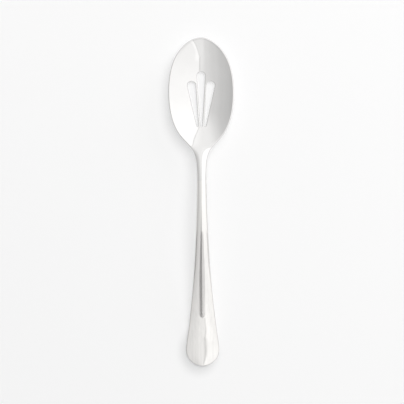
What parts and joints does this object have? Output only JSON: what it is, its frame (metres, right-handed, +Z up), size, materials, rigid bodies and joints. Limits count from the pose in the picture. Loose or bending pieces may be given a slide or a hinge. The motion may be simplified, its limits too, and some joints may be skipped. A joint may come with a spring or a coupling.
{
  "type": "slotted serving spoon",
  "caption": "Long-handled serving spoon with a deep egg-shaped bowl pierced by three fanned, tapered slots, a slim arched stem and a broad rounded handle end with a raised rib.",
  "frame": {"origin": "centre of the spoon's plan box, on the table it lies on", "axes": "+Y from the handle towards the tip of the bowl, +X to the right seen from above with the bowl away, +Z up out of the open bowl"},
  "size_m": [0.046, 0.23, 0.0194],
  "materials": {
    "bowl_steel": "mirror polished stainless steel",
    "handle_steel": "mirror polished stainless steel"
  },
  "bodies": {
    "root": {"bowl": "bowl_steel", "handle": "handle_steel"}
  },
  "joints": []
}
